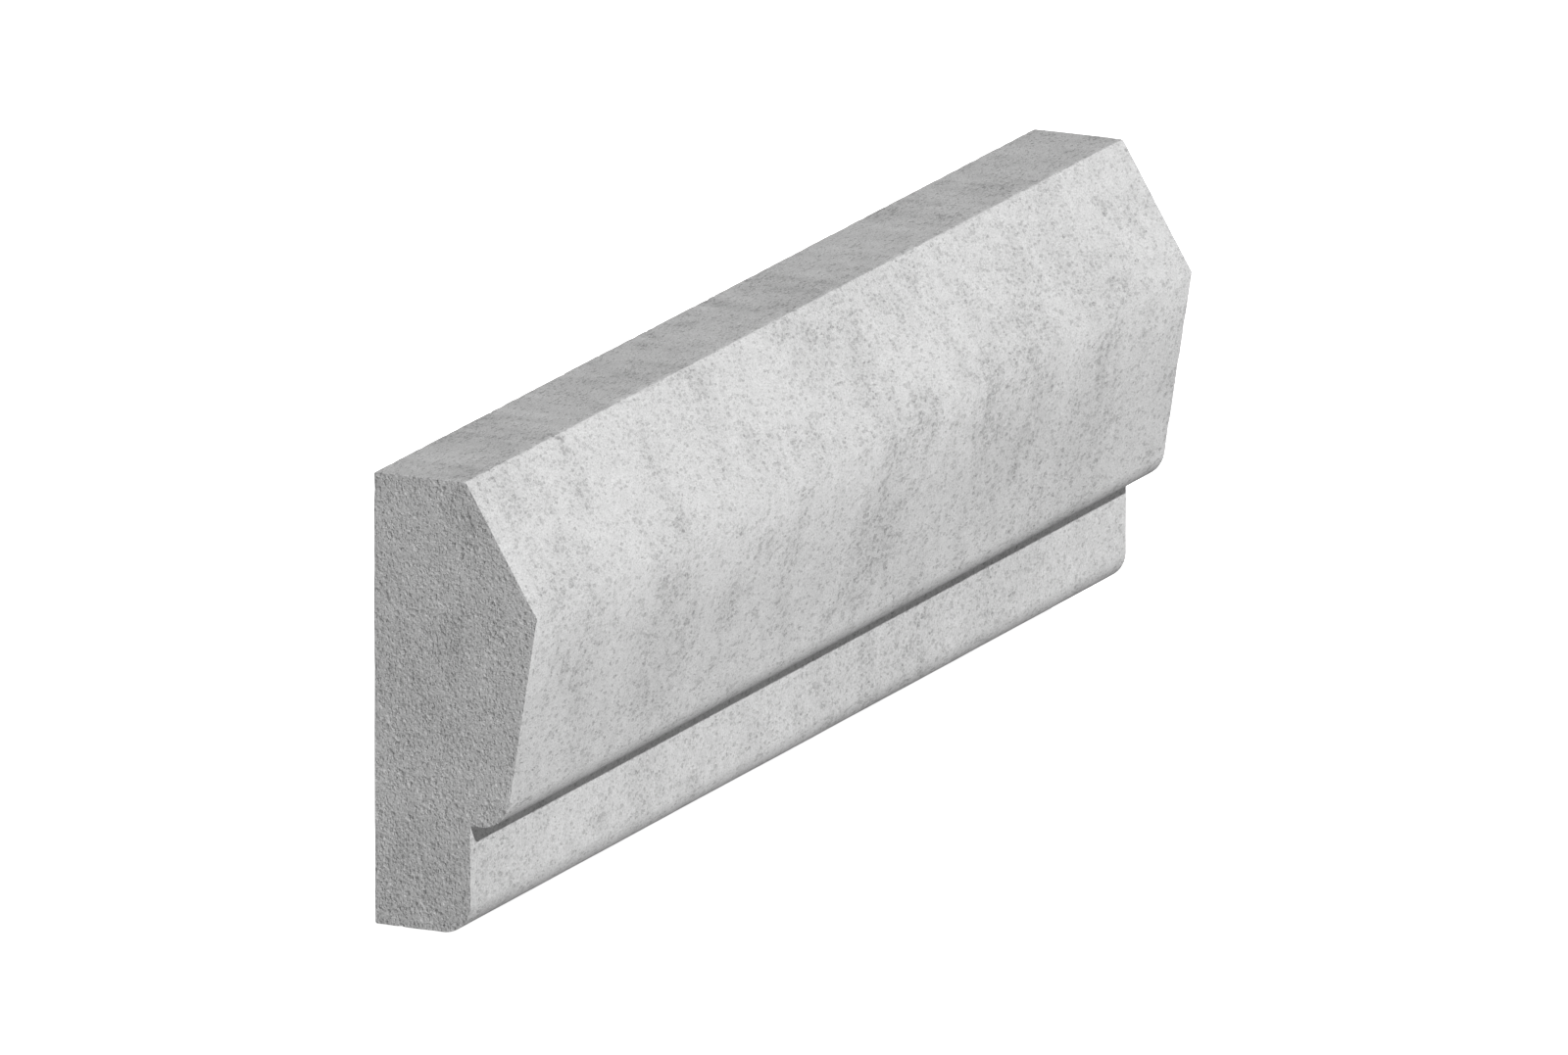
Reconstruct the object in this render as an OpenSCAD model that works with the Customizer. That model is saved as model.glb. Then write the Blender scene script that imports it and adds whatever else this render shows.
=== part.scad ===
// Precast concrete kerb stone, cast as one piece. It has a flat back, a flat top, a chamfer
// down to a knee, a face that leans back below the knee, and a rounded nose that overhangs
// a narrower foot. It lies on its back: X runs along the stone, Y from the foot to the top,
// and Z up out of the back. The origin is the middle of the back.

/* [Stone] */
// Length of the stone, from end to end
length = 1000; // [250:5:1500]
// Height of the stone as laid, from the underside of the foot to the top
height = 300; // [240:5:450]

/* [Top] */
// Width of the flat top, from the back to the chamfer
top_d = 65.5; // [40:0.5:90]
// How far the knee lies below the top
chamfer_h = 85; // [50:1:110]

/* [Face] */
// How far the knee stands out past the nose, which makes the face lean back
face_lean = 22.5; // [10:0.5:40]
// How far the nose stands out past the foot
nose_over = 25; // [15:0.5:40]
// Radius of the nose
nose_r = 22; // [5:1:30]

/* [Foot] */
// Thickness of the foot, from the back to its front face
foot_d = 68.5; // [50:0.5:100]
// Height of the foot, from its underside to the soffit of the nose
foot_h = 72; // [50:1:110]
// Radius of the foot's lower front corner
foot_r = 20; // [5:1:30]

/* [Edges] */
// Radius of the other long edges
arris_r = 2; // [1:0.5:5]

/* [Hidden] */
concrete = [0.80, 0.80, 0.79];
arc_steps = 96;
// The angle at which a corner's arc meets the sides next to it
arc_meets = 4;
// How far a corner's cut runs, as a multiple of the way from its centre to the sides
cut_past = 1.2;
// The least flat that the nose leaves on its soffit
soffit_min = 1;

// The section's corners, as [distance out of the back, height above the foot's underside]
nose_d = foot_d + nose_over;
knee_d = nose_d + face_lean;
knee_h = height - chamfer_h;
heel = [0, 0];
toe = [foot_d, 0];
throat = [foot_d, foot_h];
nose = [nose_d, foot_h];
knee = [knee_d, knee_h];
brow = [top_d, height];
crown = [0, height];

// Half of the angle at corner b, between its neighbours a and c
function half_angle(a, b, c) = acos((a - b) * (c - b) / (norm(a - b) * norm(c - b))) / 2;

// What a rounded corner b takes off a section whose neighbouring corners are a and c
module corner_waste(a, b, c, r) {
    half = half_angle(a, b, c);
    to_a = (a - b) / norm(a - b);
    to_c = (c - b) / norm(c - b);
    depth = r * cos(arc_meets);
    centre = b + (to_a + to_c) / norm(to_a + to_c) * depth / sin(half);
    foot_a = b + to_a * depth / tan(half);
    foot_c = b + to_c * depth / tan(half);
    translate(centre)
        difference() {
            polygon([
                [0, 0],
                (foot_a - centre) * cut_past,
                (b - centre) * cut_past,
                (foot_c - centre) * cut_past
            ]);
            circle(r = r, $fn = arc_steps);
        }
}

module section() {
    nose_r_max = (nose_over - soffit_min) * tan(half_angle(throat, nose, knee));
    difference() {
        polygon([heel, toe, throat, nose, knee, brow, crown]);
        corner_waste(crown, heel, toe, arris_r);
        corner_waste(heel, toe, throat, foot_r);
        corner_waste(throat, nose, knee, min(nose_r, nose_r_max));
        corner_waste(nose, knee, brow, arris_r);
        corner_waste(knee, brow, crown, arris_r);
        corner_waste(brow, crown, heel, arris_r);
    }
}

module kerb_stone() {
    color(concrete)
        translate([0, -height / 2, 0])
            rotate([0, -90, 0])
                linear_extrude(height = length, center = true)
                    section();
}

kerb_stone();
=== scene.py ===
import bmesh
import bpy
import random
from math import ceil, cos, radians, sin
from mathutils import Matrix, Vector, noise
from mathutils.kdtree import KDTree


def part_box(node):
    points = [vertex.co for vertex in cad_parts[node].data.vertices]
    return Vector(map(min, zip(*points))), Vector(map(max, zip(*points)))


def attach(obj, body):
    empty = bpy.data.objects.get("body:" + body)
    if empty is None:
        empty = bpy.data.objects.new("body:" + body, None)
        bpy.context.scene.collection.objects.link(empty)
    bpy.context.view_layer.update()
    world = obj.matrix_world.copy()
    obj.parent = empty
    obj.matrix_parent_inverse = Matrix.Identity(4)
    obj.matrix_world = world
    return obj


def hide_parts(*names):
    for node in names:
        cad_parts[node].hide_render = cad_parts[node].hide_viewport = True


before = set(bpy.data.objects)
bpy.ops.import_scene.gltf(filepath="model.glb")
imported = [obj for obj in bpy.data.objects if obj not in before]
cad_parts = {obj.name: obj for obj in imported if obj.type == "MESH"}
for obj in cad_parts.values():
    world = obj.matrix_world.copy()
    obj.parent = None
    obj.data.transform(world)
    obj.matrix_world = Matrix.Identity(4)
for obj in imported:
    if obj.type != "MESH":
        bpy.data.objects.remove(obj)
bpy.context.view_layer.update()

# The stone lies on its back: X runs along it, Y from its foot to its top, Z up out of its back.
stoneLow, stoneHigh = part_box("kerb_stone")
stoneLength = stoneHigh.x - stoneLow.x


def smoothStep(low, high, value):
    t = min(max((value - low) / (high - low), 0.0), 1.0)
    return t * t * (3 - 2 * t)


# The cast stone

kerbStone = {
    "alongStep": 0.0033,      # mesh spacing along the stone
    "acrossStep": 0.0030,     # and across its faces
    "backStep": 0.0100,       # the back is plain, so its mesh is coarser
    "endStep": 0.0015,        # the ends have the roughest grain, so the finest mesh
    "endRim": 0.0012,         # ring of faces just inside the edge of each end
    "endArris": 0.0007,       # tiny chamfer round each end
    "arrisFacet": 0.0012,     # faces narrower than this belong to an arris
    "squarely": 0.99,         # share of a normal that has to point one way for a face to face it
    "mergeWithin": 1e-6,
    "flatWithin": radians(1),
    "cutWithin": 1e-4,        # how near a cut a corner may lie and still be part of it
}

castRelief = {
    "sway": (0.00025, 8),         # depth in metres, and waves to the metre: slow unevenness
    "dents": (0.00012, 45),
    "endGrain": (0.00018, 240),
    "endLumps": (0.00025, 60),
    "arrisWear": (0.0003, 75),
    "wearEdge": (-0.1, 0.6),      # noise values where wear begins and is full
    "endEdge": (0.6, 0.95),       # how squarely a surface looks along the stone to count as end
    "browWear": 0.0007,           # the arris between top and chamfer is the most worn
    "browFacing": (0.5, 0.2),     # it looks up the stone and out of the back by more than this
    "chips": 40,
    "chipRadius": (0.002, 0.004),
    "chipDepth": 0.0005,
    "seed": 7,
}

softKnee = {
    "faceTurn": radians(25.0),    # how far the shading under the knee turns up
    "faceWidth": 0.080,           # and the width over which that fades out
    "chamferTurn": radians(15.5),
    "chamferWidth": 0.030,
    "facing": 0.6,                # only what looks out of the back at least this squarely turns
}


def mergedCopy(nodeName):
    bm = bmesh.new()
    bm.from_mesh(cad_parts[nodeName].data)
    bmesh.ops.remove_doubles(bm, verts=bm.verts, dist=kerbStone["mergeWithin"])
    bmesh.ops.dissolve_limit(bm, angle_limit=kerbStone["flatWithin"], verts=bm.verts, edges=bm.edges)
    return bm


def isEnd(face):
    return abs(face.normal.x) > kerbStone["squarely"]


def isBack(face):
    return face.normal.z < -kerbStone["squarely"]


def runsAlong(edge):
    return abs(edge.verts[0].co.x - edge.verts[1].co.x) > stoneLength / 2


def cutAcross(bm):
    # Each long face of the section gets its own number of strips
    cutsByCount = {}
    for face in bm.faces:
        if isEnd(face):
            continue
        short = [edge for edge in face.edges if not runsAlong(edge)]
        step = kerbStone["backStep"] if isBack(face) else kerbStone["acrossStep"]
        strips = ceil(short[0].calc_length() / step)
        cutsByCount.setdefault(strips - 1, []).extend(short)
    for cuts, edges in cutsByCount.items():
        if cuts > 0:
            bmesh.ops.subdivide_edges(bm, edges=edges, cuts=cuts, use_grid_fill=True)


def chamferEnds(bm):
    rims = [edge for face in bm.faces if isEnd(face) for edge in face.edges]
    bmesh.ops.bevel(bm, geom=rims, offset=kerbStone["endArris"], offset_type="OFFSET",
                    affect="EDGES", segments=2, profile=0.5, material=-1)


def cutAlong(bm):
    bmesh.ops.delete(bm, geom=[face for face in bm.faces if isEnd(face)], context="FACES_ONLY")
    longEdges = [edge for edge in bm.edges if runsAlong(edge)]
    cuts = ceil(stoneLength / kerbStone["alongStep"]) - 1
    bmesh.ops.subdivide_edges(bm, edges=longEdges, cuts=cuts, use_grid_fill=True)


def fillEnds(bm):
    openEdges = [edge for edge in bm.edges if edge.is_boundary]
    ends = bmesh.ops.holes_fill(bm, edges=openEdges, sides=0)["faces"]
    bmesh.ops.inset_region(bm, faces=ends, thickness=kerbStone["endRim"], use_even_offset=True)
    inside = ends
    for axis, low, high in ((1, stoneLow.y, stoneHigh.y), (2, stoneLow.z, stoneHigh.z)):
        count = ceil((high - low) / kerbStone["endStep"])
        for i in range(1, count):
            place, normal = Vector(), Vector()
            place[axis] = low + (high - low) * i / count
            normal[axis] = 1
            edges = list(dict.fromkeys(edge for face in inside for edge in face.edges))
            corners = list(dict.fromkeys(vert for face in inside for vert in face.verts))
            cut = bmesh.ops.bisect_plane(bm, geom=inside + edges + corners, plane_co=place,
                                         plane_no=normal, dist=kerbStone["cutWithin"])
            inside = [item for item in cut["geom"] if isinstance(item, bmesh.types.BMFace)]
    ragged = [face for face in bm.faces if len(face.verts) > 4]
    bmesh.ops.triangulate(bm, faces=ragged, quad_method="BEAUTY", ngon_method="BEAUTY")


# Relief goes inwards only, so the stone never outgrows its solid

def waves(place, perMetre, layer):
    away = 10.0 * layer    # each layer of relief reads its own stretch of the noise
    return noise.noise(place * perMetre + Vector((away, away * 2, away * 3)))


def arrisVertices(bm):
    narrow = [edge for edge in bm.edges if edge.calc_length() < kerbStone["arrisFacet"]]
    return {vert.index for edge in narrow if not any(map(isEnd, edge.link_faces))
            for vert in edge.verts}


def reliefDepth(vert, onArris):
    place, normal = vert.co, vert.normal
    endShare = smoothStep(*castRelief["endEdge"], abs(normal.x))
    depth = 0.0
    for layer, name in ((0, "sway"), (1, "dents")):
        height, perMetre = castRelief[name]
        depth += height * (0.5 + 0.5 * waves(place, perMetre, layer))
    for layer, name in ((3, "endGrain"), (4, "endLumps")):
        height, perMetre = castRelief[name]
        depth += endShare * height * (0.5 + 0.5 * waves(place, perMetre, layer))
    if onArris:
        height, perMetre = castRelief["arrisWear"]
        upwards, outwards = castRelief["browFacing"]
        if normal.y > upwards and normal.z > outwards:
            height += castRelief["browWear"]
        depth += height * smoothStep(*castRelief["wearEdge"], waves(place, perMetre, 7))
    return depth


def chipArrises(bm, arrises, depths):
    rng = random.Random(castRelief["seed"])
    tree = KDTree(len(bm.verts))
    for vert in bm.verts:
        tree.insert(vert.co, vert.index)
    tree.balance()
    for index in rng.sample(sorted(arrises), castRelief["chips"]):
        radius = rng.uniform(*castRelief["chipRadius"])
        for _, near, distance in tree.find_range(bm.verts[index].co, radius):
            depths[near] += castRelief["chipDepth"] * (1 - (distance / radius) ** 2)


def castSurface(bm):
    bm.verts.index_update()
    bm.verts.ensure_lookup_table()
    bm.normal_update()
    arrises = arrisVertices(bm)
    depths = [reliefDepth(vert, vert.index in arrises) for vert in bm.verts]
    chipArrises(bm, arrises, depths)
    for vert, depth in zip(bm.verts, depths):
        vert.co -= vert.normal * depth
    bm.normal_update()


# The mould's knee is worn so soft that the shading rolls over it

def kneeTurn(place, knee):
    distance = (place.yz - knee).length
    if place.y < knee.y:
        turn, width = softKnee["faceTurn"], softKnee["faceWidth"]
    else:
        turn, width = -softKnee["chamferTurn"], softKnee["chamferWidth"]
    return turn * max(0.0, 1 - distance / width) ** 2


def areaNormals(bm):
    normals = []
    for vert in bm.verts:
        total = sum((face.normal * face.calc_area() for face in vert.link_faces), Vector())
        normals.append(total.normalized())
    return normals


def softenKnee(bm, normals, knee):
    for vert in bm.verts:
        normal = normals[vert.index]
        if normal.z > softKnee["facing"]:
            turn = kneeTurn(vert.co, knee)
            normals[vert.index] = Matrix.Rotation(-turn, 3, "X") @ normal


def makeKerbStone():
    bm = mergedCopy("kerb_stone")
    kneeVertex = max(bm.verts, key=lambda vert: vert.co.z)
    knee = kneeVertex.co.yz
    cutAcross(bm)
    chamferEnds(bm)
    cutAlong(bm)
    fillEnds(bm)
    print("Stone: relief")
    castSurface(bm)
    normals = areaNormals(bm)
    softenKnee(bm, normals, knee)
    for face in bm.faces:
        face.smooth = True
    mesh = bpy.data.meshes.new("kerbStone")
    bm.to_mesh(mesh)
    bm.free()
    mesh.normals_split_custom_set_from_vertices(normals)
    stone = bpy.data.objects.new("kerbStone", mesh)
    bpy.context.scene.collection.objects.link(stone)
    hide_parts("kerb_stone")
    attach(stone, "root")
    return stone


# Concrete

# A noise is given as its features to the metre, its octaves and their roughness

castConcrete = {
    "tone": 0.50,                    # mean reflectance
    "topPaintedShade": 0.91,                 # painted shade: the top is made a little darker, standing in for less light falling on it
    "topEdge": (0.8, 0.95),          # how squarely a face looks up the stone to count as top
    "cleanTone": 1.115,              # the paste between specks and patches
    "upStretch": 0.75,               # draws clouds and patches out up the stone
    "clouds": (9, 3, 0.55),
    "cloudEdge": (0.46, 0.66),       # noise values where they begin and are full
    "cloudShade": 0.070,             # and how much they darken
    "patches": (26, 5, 0.65),
    "patchEdge": (0.50, 0.68),
    "patchShade": 0.080,
    "patchPlace": (3.1, 1.7, 0.4),   # keeps patches off the stretch of noise that clouds use
    "mottle": (95, 4, 0.6),
    "mottleSwing": 0.34,             # how far the tone swings
    "grain": (900, 1, 0.5),
    "grainSwing": 0.72,
    "topStreaks": (55, 1, 0.5),
    "streakSwing": 0.28,
    "streakSqueeze": (1, 1, 0.3),    # streaks run from front to back
    "roughness": 0.9,
    "grainRoughness": 0.2,
    "specular": 0.25,
}

concreteSpecks = {
    "coarse": (280, 0.48),           # to the metre, and size as a share of their spacing
    "fine": (500, 0.50),
    "shade": 0.19,                   # how much they darken
    "squeeze": (0.625, 1, 1.7),      # longer along the stone, thinner from front to back
    "ragged": (500, 0.0028),         # wobble of their outlines: to the metre, and how far
    "moreInPatches": 0.22,
    "moreInClouds": 0.10,
    "bump": 0.00020,
    "grainBump": 0.00010,
}

castEnds = {
    "edge": (0.55, 0.85),            # how squarely a face looks along the stone to count as end
    "pits": (330, 0.8),              # to the metre, and size as a share of their spacing
    "pitDepth": 0.00046,
    "pitSlope": 0.4,
    "grain": (800, 2, 0.6),
    "grainDepth": 0.00025,
}

waterStains = {
    "strength": 0.25,                # how readily patches form in them
    "reach": 0.08,                   # they stay this near the front
    "fade": (1.25, 0.35),            # begin and are full at these shares of their size
    "places": (                      # along and up from the middle, width, height, share
        (-0.370, 0.132, 0.022, 0.040, 0.50),
        (0.145, 0.143, 0.014, 0.022, 0.75),
        (0.300, 0.125, 0.020, 0.045, 0.55),
        (-0.185, 0.143, 0.030, 0.016, 0.40),
        (-0.088, 0.080, 0.014, 0.012, 0.55),
        (0.085, 0.062, 0.030, 0.022, 0.55),
        (0.035, 0.000, 0.060, 0.060, 0.75),
        (0.180, 0.010, 0.040, 0.040, 0.35),
        (-0.143, 0.030, 0.022, 0.018, 0.40),
    ),
}


class NodeBench:
    def __init__(self, tree):
        self.tree = tree
        self.made = 0

    def add(self, kind, inputs=None, **settings):
        node = self.tree.nodes.new(kind)
        # Laid out in rows of eight, so that the tree reads well when it is opened
        node.location = (self.made % 8 * 220, -(self.made // 8) * 320)
        self.made += 1
        for name, value in settings.items():
            setattr(node, name, value)
        for socket, value in (inputs or {}).items():
            if isinstance(value, bpy.types.NodeSocket):
                self.tree.links.new(value, node.inputs[socket])
            else:
                node.inputs[socket].default_value = value
        return node

    def math(self, operation, a, b=None, c=None):
        inputs = {i: value for i, value in enumerate((a, b, c)) if value is not None}
        return self.add("ShaderNodeMath", inputs, operation=operation).outputs[0]

    def vectorMath(self, operation, a, b=(0, 0, 0)):
        node = self.add("ShaderNodeVectorMath", {0: a, 1: b}, operation=operation)
        return node.outputs["Value" if operation == "LENGTH" else "Vector"]

    def noise(self, coordinates, perMetre, detail, roughness):
        inputs = {"Vector": coordinates, "Scale": perMetre, "Detail": detail, "Roughness": roughness}
        return self.add("ShaderNodeTexNoise", inputs).outputs["Fac"]

    def swing(self, coordinates, perMetre, detail, roughness):
        return self.math("SUBTRACT", self.noise(coordinates, perMetre, detail, roughness), 0.5)

    def ramp(self, value, low, high, fromValue=0.0, toValue=1.0):
        inputs = {"Value": value, "From Min": low, "From Max": high,
                  "To Min": fromValue, "To Max": toValue}
        node = self.add("ShaderNodeMapRange", inputs, interpolation_type="SMOOTHSTEP")
        return node.outputs["Result"]

    def specks(self, coordinates, perMetre, size, crowd=0.0, slope=0.1):
        cells = self.add("ShaderNodeTexVoronoi", {"Vector": coordinates, "Scale": perMetre})
        luck = self.add("ShaderNodeSeparateColor", {"Color": cells.outputs["Color"]}).outputs["Red"]
        radius = self.math("MULTIPLY", self.math("ADD", luck, crowd), size)
        inside = self.math("SUBTRACT", radius, cells.outputs["Distance"])
        return self.ramp(inside, -slope / 2, slope)

    def mapping(self, coordinates, scale, offset=(0, 0, 0)):
        inputs = {"Vector": coordinates, "Scale": scale, "Location": offset}
        return self.add("ShaderNodeMapping", inputs).outputs["Vector"]


def stainShare(bench, here):
    fadeFrom, fadeTo = waterStains["fade"]
    reach = waterStains["reach"]
    total = 0.0
    for along, up, width, height, share in waterStains["places"]:
        size = (1 / width, 1 / height, 1 / reach)
        centre = (-along / width, -up / height, -stoneHigh.z / reach)
        distance = bench.vectorMath("LENGTH", bench.mapping(here, size, centre))
        total = bench.math("ADD", bench.ramp(distance, fadeFrom, fadeTo, 0.0, share), total)
    return total


def weatherShares(bench, here):
    # Stains add to the patches' noise, so that their edges break up in the same way
    look = castConcrete
    drawnUp = bench.mapping(here, (1, look["upStretch"], look["upStretch"]))
    apart = bench.mapping(drawnUp, (1, 1, 1), look["patchPlace"])
    clouds = bench.noise(drawnUp, *look["clouds"])
    patches = bench.noise(apart, *look["patches"])
    stained = bench.math("MULTIPLY", stainShare(bench, here), waterStains["strength"])
    cloudy = bench.ramp(clouds, *look["cloudEdge"])
    patchy = bench.ramp(bench.math("ADD", patches, stained), *look["patchEdge"])
    return cloudy, patchy


def speckShares(bench, here, cloudy, patchy):
    look = concreteSpecks
    crowd = bench.math("MULTIPLY", cloudy, look["moreInClouds"])
    crowd = bench.math("MULTIPLY_ADD", patchy, look["moreInPatches"], crowd)
    perMetre, wobble = look["ragged"]
    ragged = bench.add("ShaderNodeTexNoise", {"Vector": here, "Scale": perMetre, "Detail": 1})
    shift = bench.vectorMath("SUBTRACT", ragged.outputs["Color"], (0.5, 0.5, 0.5))
    shift = bench.vectorMath("MULTIPLY", shift, (wobble, wobble, wobble))
    place = bench.vectorMath("ADD", bench.mapping(here, look["squeeze"]), shift)
    return [bench.specks(place, *look[name], crowd) for name in ("coarse", "fine")]


def endRelief(bench, here):
    look = castEnds
    pits = bench.specks(here, *look["pits"], slope=look["pitSlope"])
    grain = bench.noise(here, *look["grain"])
    height = bench.math("MULTIPLY", pits, -look["pitDepth"])
    return bench.math("MULTIPLY_ADD", grain, look["grainDepth"], height)


def makeCastConcrete():
    material = bpy.data.materials.new("castConcrete")
    material.use_nodes = True
    tree = material.node_tree
    tree.nodes.clear()
    bench = NodeBench(tree)
    look = castConcrete

    place = bench.add("ShaderNodeTexCoord")
    here = place.outputs["Object"]
    facing = bench.add("ShaderNodeSeparateXYZ", {"Vector": place.outputs["Normal"]})
    endShare = bench.ramp(bench.math("ABSOLUTE", facing.outputs["X"]), *castEnds["edge"])
    topShare = bench.ramp(facing.outputs["Y"], *look["topEdge"])

    cloudy, patchy = weatherShares(bench, here)
    coarse, fine = speckShares(bench, here, cloudy, patchy)
    mottle = bench.swing(here, *look["mottle"])
    grain = bench.swing(here, *look["grain"])
    streaks = bench.swing(bench.mapping(here, look["streakSqueeze"]), *look["topStreaks"])
    streaks = bench.math("MULTIPLY", streaks, topShare)

    layers = (
        (coarse, -concreteSpecks["shade"]),
        (fine, -concreteSpecks["shade"]),
        (cloudy, -look["cloudShade"]),
        (patchy, -look["patchShade"]),
        (mottle, look["mottleSwing"]),
        (grain, look["grainSwing"]),
        # painted shade on the top, standing in for less light falling on it
        (topShare, look["topPaintedShade"] - 1),
        (streaks, look["streakSwing"]),
    )
    shade = look["cleanTone"]
    for share, amount in layers:
        shade = bench.math("MULTIPLY_ADD", share, amount, shade)
    tone = bench.math("MULTIPLY", shade, look["tone"])
    colour = bench.add("ShaderNodeCombineColor", {"Red": tone, "Green": tone, "Blue": tone})
    roughness = bench.math("MULTIPLY_ADD", grain, look["grainRoughness"], look["roughness"])

    height = bench.math("MULTIPLY", endRelief(bench, here), endShare)
    height = bench.math("MULTIPLY_ADD", coarse, -concreteSpecks["bump"], height)
    height = bench.math("MULTIPLY_ADD", grain, concreteSpecks["grainBump"], height)
    bump = bench.add("ShaderNodeBump", {"Height": height, "Strength": 1.0, "Distance": 1.0})

    surface = bench.add("ShaderNodeBsdfPrincipled", {
        "Base Color": colour.outputs["Color"],
        "Roughness": roughness,
        "Specular IOR Level": look["specular"],
        "Normal": bump.outputs["Normal"]})
    bench.add("ShaderNodeOutputMaterial", {"Surface": surface.outputs["BSDF"]})
    return material


# Studio

studio = {
    "floorSize": 60.0,
    "floorDrop": 0.0002,             # how far the floor keeps clear below the stone's back
    "floorTone": 0.80,
    "floorGlow": 0.80,
    "sky": (0.35, -0.21),            # brightness overhead, and its change towards the top
    "keyLight": ((-0.334, 0.612, 0.717), 3.63, radians(1.5)),    # direction, strength, width
}


def makeFloor():
    bm = bmesh.new()
    low = Matrix.Translation((0, 0, stoneLow.z - studio["floorDrop"]))
    bmesh.ops.create_grid(bm, x_segments=1, y_segments=1, size=studio["floorSize"] / 2, matrix=low)
    mesh = bpy.data.meshes.new("studioFloor")
    bm.to_mesh(mesh)
    bm.free()
    floor = bpy.data.objects.new("studioFloor", mesh)
    bpy.context.scene.collection.objects.link(floor)
    material = bpy.data.materials.new("paleFloor")
    material.use_nodes = True
    surface = material.node_tree.nodes["Principled BSDF"]
    tone = studio["floorTone"]
    surface.inputs["Base Color"].default_value = (tone, tone, tone, 1)
    surface.inputs["Roughness"].default_value = 1.0
    surface.inputs["Specular IOR Level"].default_value = 0.0
    surface.inputs["Emission Color"].default_value = (1, 1, 1, 1)
    surface.inputs["Emission Strength"].default_value = studio["floorGlow"]
    mesh.materials.append(material)
    floor.visible_diffuse = False     # it throws no light back up at the stone
    floor.visible_glossy = False


def makeSun(name):
    direction, strength, angle = studio[name]
    data = bpy.data.lights.new(name, "SUN")
    data.energy = strength
    data.angle = angle
    lamp = bpy.data.objects.new(name, data)
    lamp.rotation_euler = Vector(direction).to_track_quat("Z", "Y").to_euler()
    bpy.context.scene.collection.objects.link(lamp)


def makeSky():
    world = bpy.data.worlds.new("studioSky")
    world.use_nodes = True
    bench = NodeBench(world.node_tree)
    world.node_tree.nodes.clear()
    overhead, towardsTop = studio["sky"]
    direction = bench.add("ShaderNodeTexCoord").outputs["Generated"]
    parts = bench.add("ShaderNodeSeparateXYZ", {"Vector": direction})
    strength = bench.math("MULTIPLY_ADD", parts.outputs["Y"], towardsTop, overhead)
    sky = bench.add("ShaderNodeBackground", {"Strength": strength})
    bench.add("ShaderNodeOutputWorld", {"Surface": sky.outputs["Background"]})
    bpy.context.scene.world = world


# Camera, turned so that the stone stands upright in its view

camera = {
    "lens": 1100,                    # millimetres, as is the sensor
    "sensor": 36,
    "distance": 31.10,
    "azimuth": radians(-105.98),
    "elevation": radians(24.38),
    "shift": (-0.0030, 0.0020),      # what the view centres on, from the stone's middle
    "farthest": 200,
}


def makeCamera():
    azimuth, elevation = camera["azimuth"], camera["elevation"]
    back = Vector((sin(azimuth) * cos(elevation), -cos(azimuth) * cos(elevation), sin(elevation)))
    right = Vector((0, 1, 0)).cross(back).normalized()
    up = back.cross(right)
    centre = (stoneLow + stoneHigh) / 2
    target = centre + right * camera["shift"][0] + up * camera["shift"][1]
    data = bpy.data.cameras.new("camera")
    data.lens = camera["lens"]
    data.sensor_width = camera["sensor"]
    data.clip_end = camera["farthest"]
    eye = bpy.data.objects.new("camera", data)
    turn = Matrix((right, up, back)).transposed().to_4x4()
    eye.matrix_world = Matrix.Translation(target + back * camera["distance"]) @ turn
    bpy.context.scene.collection.objects.link(eye)
    bpy.context.scene.camera = eye


print("Stone: mesh")
kerb = makeKerbStone()
kerb.data.materials.append(makeCastConcrete())
print("Stone:", sum(len(face.vertices) - 2 for face in kerb.data.polygons), "triangles")
print("Studio")
makeFloor()
makeSun("keyLight")
makeSky()
makeCamera()
bpy.context.scene.view_settings.view_transform = "Standard"
